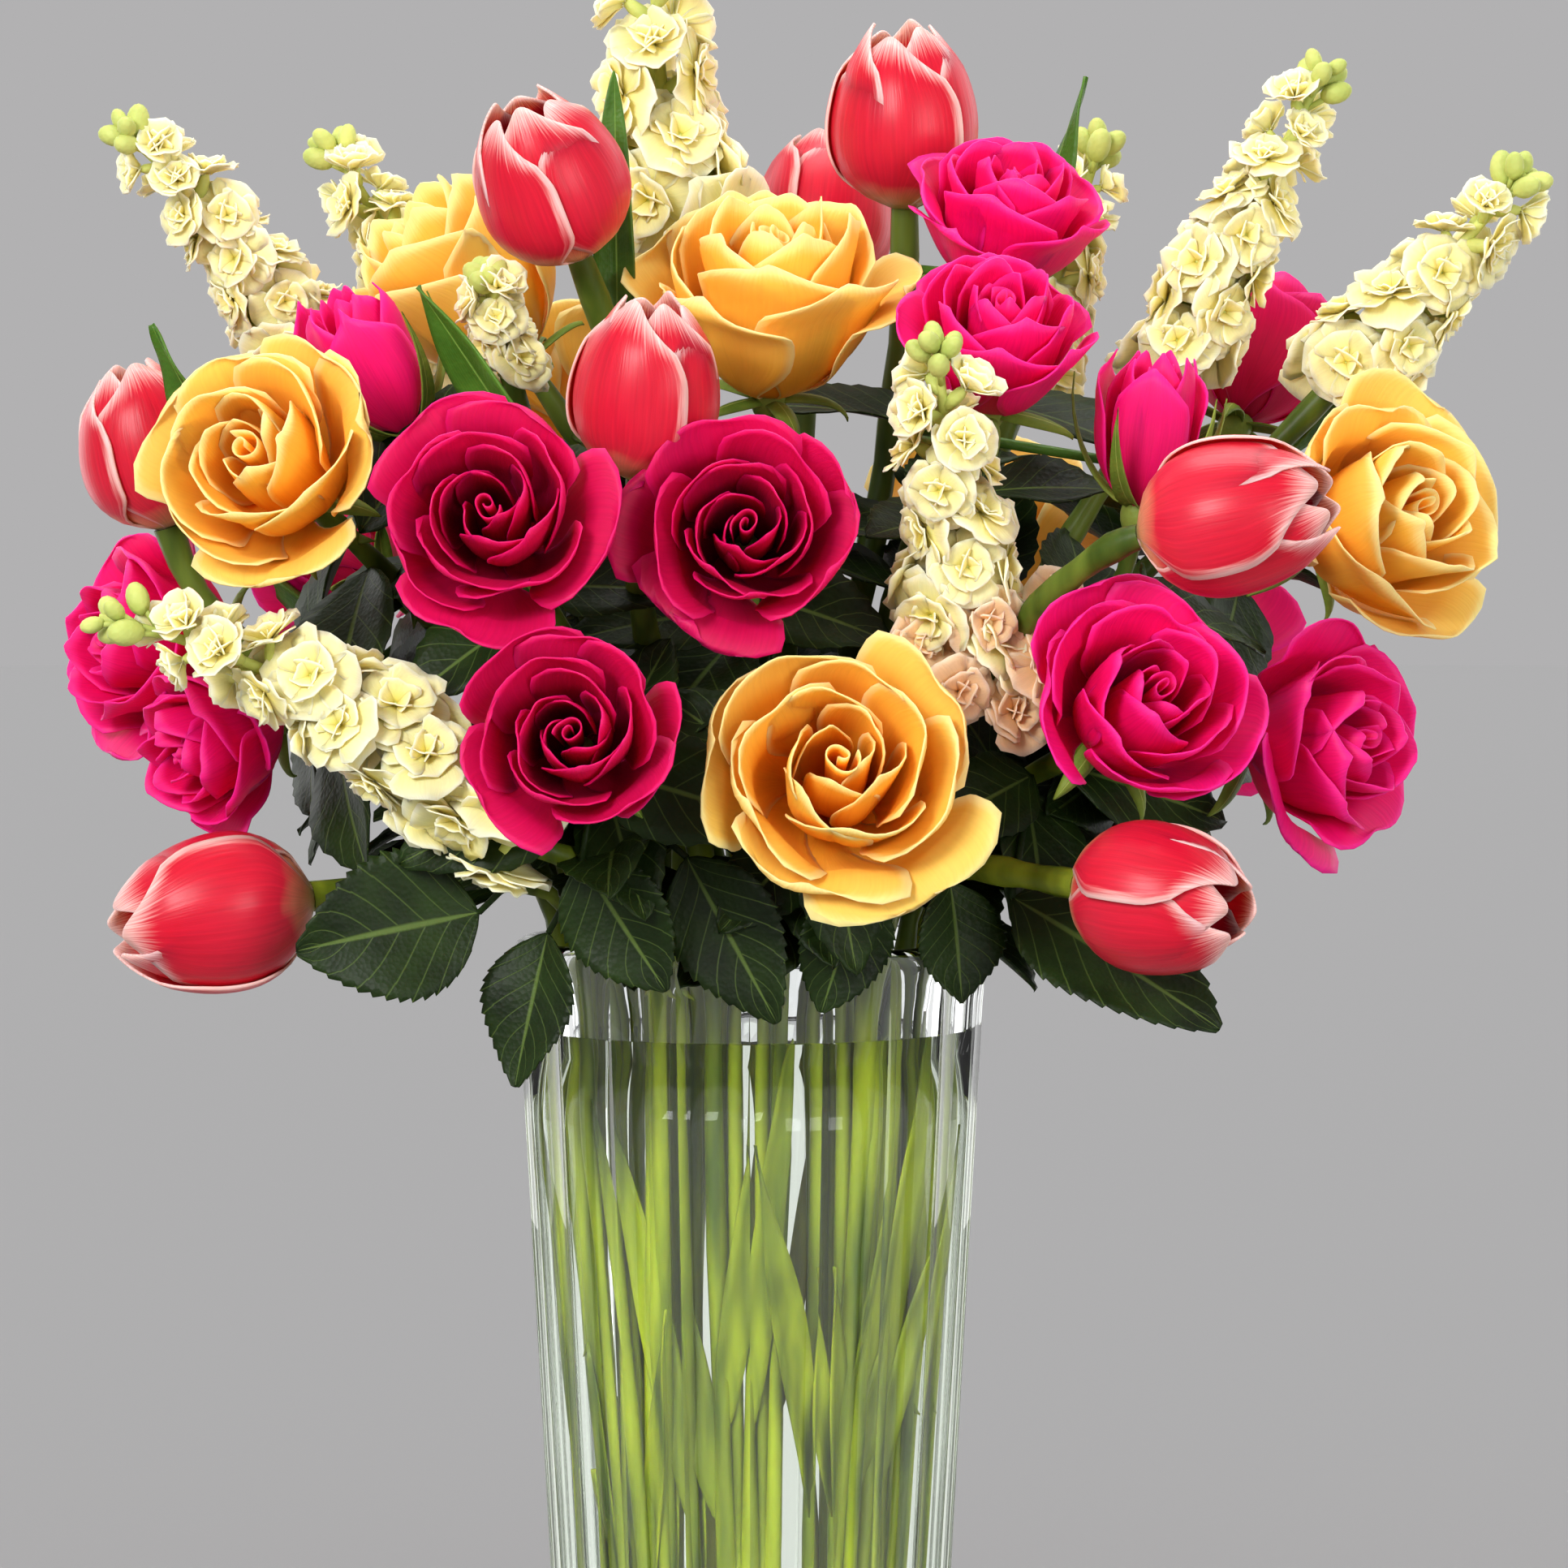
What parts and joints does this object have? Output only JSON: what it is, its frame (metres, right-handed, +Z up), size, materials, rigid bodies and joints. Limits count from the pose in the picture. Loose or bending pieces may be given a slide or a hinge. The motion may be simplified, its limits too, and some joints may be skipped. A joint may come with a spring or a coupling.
{
  "type": "vase of roses and tulips",
  "caption": "Mixed bouquet of orange and pink roses, red tulips and cream stock, standing in water in a tall fluted clear glass vase.",
  "frame": {"origin": "centre of the vase's flat foot, on the surface that it stands on", "axes": "+Z up the vase, -Y the side that the arrangement faces, +X to its right seen from the front"},
  "size_m": [0.4475, 0.341, 0.5507],
  "materials": {
    "glass": "polished",
    "water": "gloss",
    "orange_rose_petal": "matte",
    "pink_rose_petal": "matte",
    "tulip_petal": "satin",
    "stock_petal": "matte",
    "stem": "satin",
    "rose_leaf": "satin",
    "tulip_leaf": "satin"
  },
  "bodies": {
    "root": {"rose_bud_left": "pink_rose_petal", "rose_bud_right": "pink_rose_petal", "rose_leaf_far_left": "rose_leaf", "rose_leaf_front": "rose_leaf", "rose_leaf_front_left": "rose_leaf", "rose_leaf_front_middle": "rose_leaf", "rose_leaf_front_right": "rose_leaf", "rose_leaf_left": "rose_leaf", "rose_leaf_right": "rose_leaf", "rose_orange_back_left": "orange_rose_petal", "rose_orange_back_right": "orange_rose_petal", "rose_orange_front": "orange_rose_petal", "rose_orange_left": "orange_rose_petal", "rose_orange_right": "orange_rose_petal", "rose_orange_top": "orange_rose_petal", "rose_orange_upper_left": "orange_rose_petal", "rose_pink_back": "pink_rose_petal", "rose_pink_back_left": "pink_rose_petal", "rose_pink_back_right": "pink_rose_petal", "rose_pink_far_left": "pink_rose_petal", "rose_pink_far_right": "pink_rose_petal", "rose_pink_front_left": "pink_rose_petal", "rose_pink_front_low": "pink_rose_petal", "rose_pink_front_middle": "pink_rose_petal", "rose_pink_front_right": "pink_rose_petal", "rose_pink_low_left": "pink_rose_petal", "rose_pink_right": "pink_rose_petal", "rose_pink_upper_middle": "pink_rose_petal", "rose_pink_upper_right": "pink_rose_petal", "stems_back": "stem", "stems_back_left": "stem", "stems_back_right": "stem", "stems_front": "stem", "stems_front_left": "stem", "stems_front_right": "stem", "stems_left": "stem", "stems_right": "stem", "stock_back_left": "stock_petal", "stock_back_right": "stock_petal", "stock_far_right": "stock_petal", "stock_front_right": "stock_petal", "stock_low_left": "stock_petal", "stock_middle_left": "stock_petal", "stock_top": "stock_petal", "stock_upper_left": "stock_petal", "stock_upper_right": "stock_petal", "tulip_back": "tulip_petal", "tulip_far_left": "tulip_petal", "tulip_leaf_left": "tulip_leaf", "tulip_leaf_right": "tulip_leaf", "tulip_low_back": "tulip_petal", "tulip_low_left": "tulip_petal", "tulip_low_right": "tulip_petal", "tulip_middle": "tulip_petal", "tulip_right": "tulip_petal", "tulip_top": "tulip_petal", "tulip_upper_left": "tulip_petal", "vase": "glass", "water": "water"}
  },
  "joints": []
}
